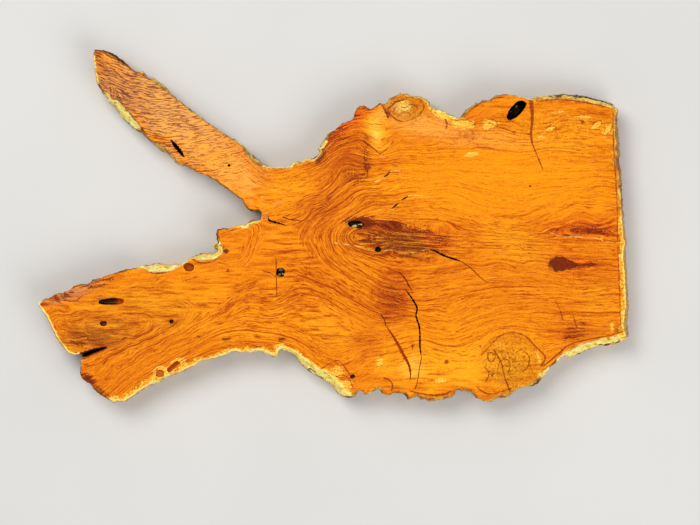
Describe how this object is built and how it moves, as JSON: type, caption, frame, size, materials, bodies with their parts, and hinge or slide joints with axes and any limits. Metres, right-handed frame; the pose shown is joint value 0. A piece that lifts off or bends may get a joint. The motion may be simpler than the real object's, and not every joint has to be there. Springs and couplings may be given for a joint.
{
  "type": "plum wood slab",
  "caption": "Forked slab of plum wood, sawn flat on both faces, with natural edges, a sawn trunk end, knot holes and drying splits.",
  "frame": {"origin": "middle of the footprint's box, on the surface the slab lies on", "axes": "+X along the trunk to its sawn end, +Y across it on the upper limb's side, +Z out of the finished face"},
  "size_m": [0.475, 0.283, 0.03],
  "materials": {
    "plum_wood": "sawn and smoothed, satin, orange heartwood with darker growth rings and pale sapwood at the edges"
  },
  "bodies": {
    "root": {"plum_slab": "plum_wood"}
  },
  "joints": []
}
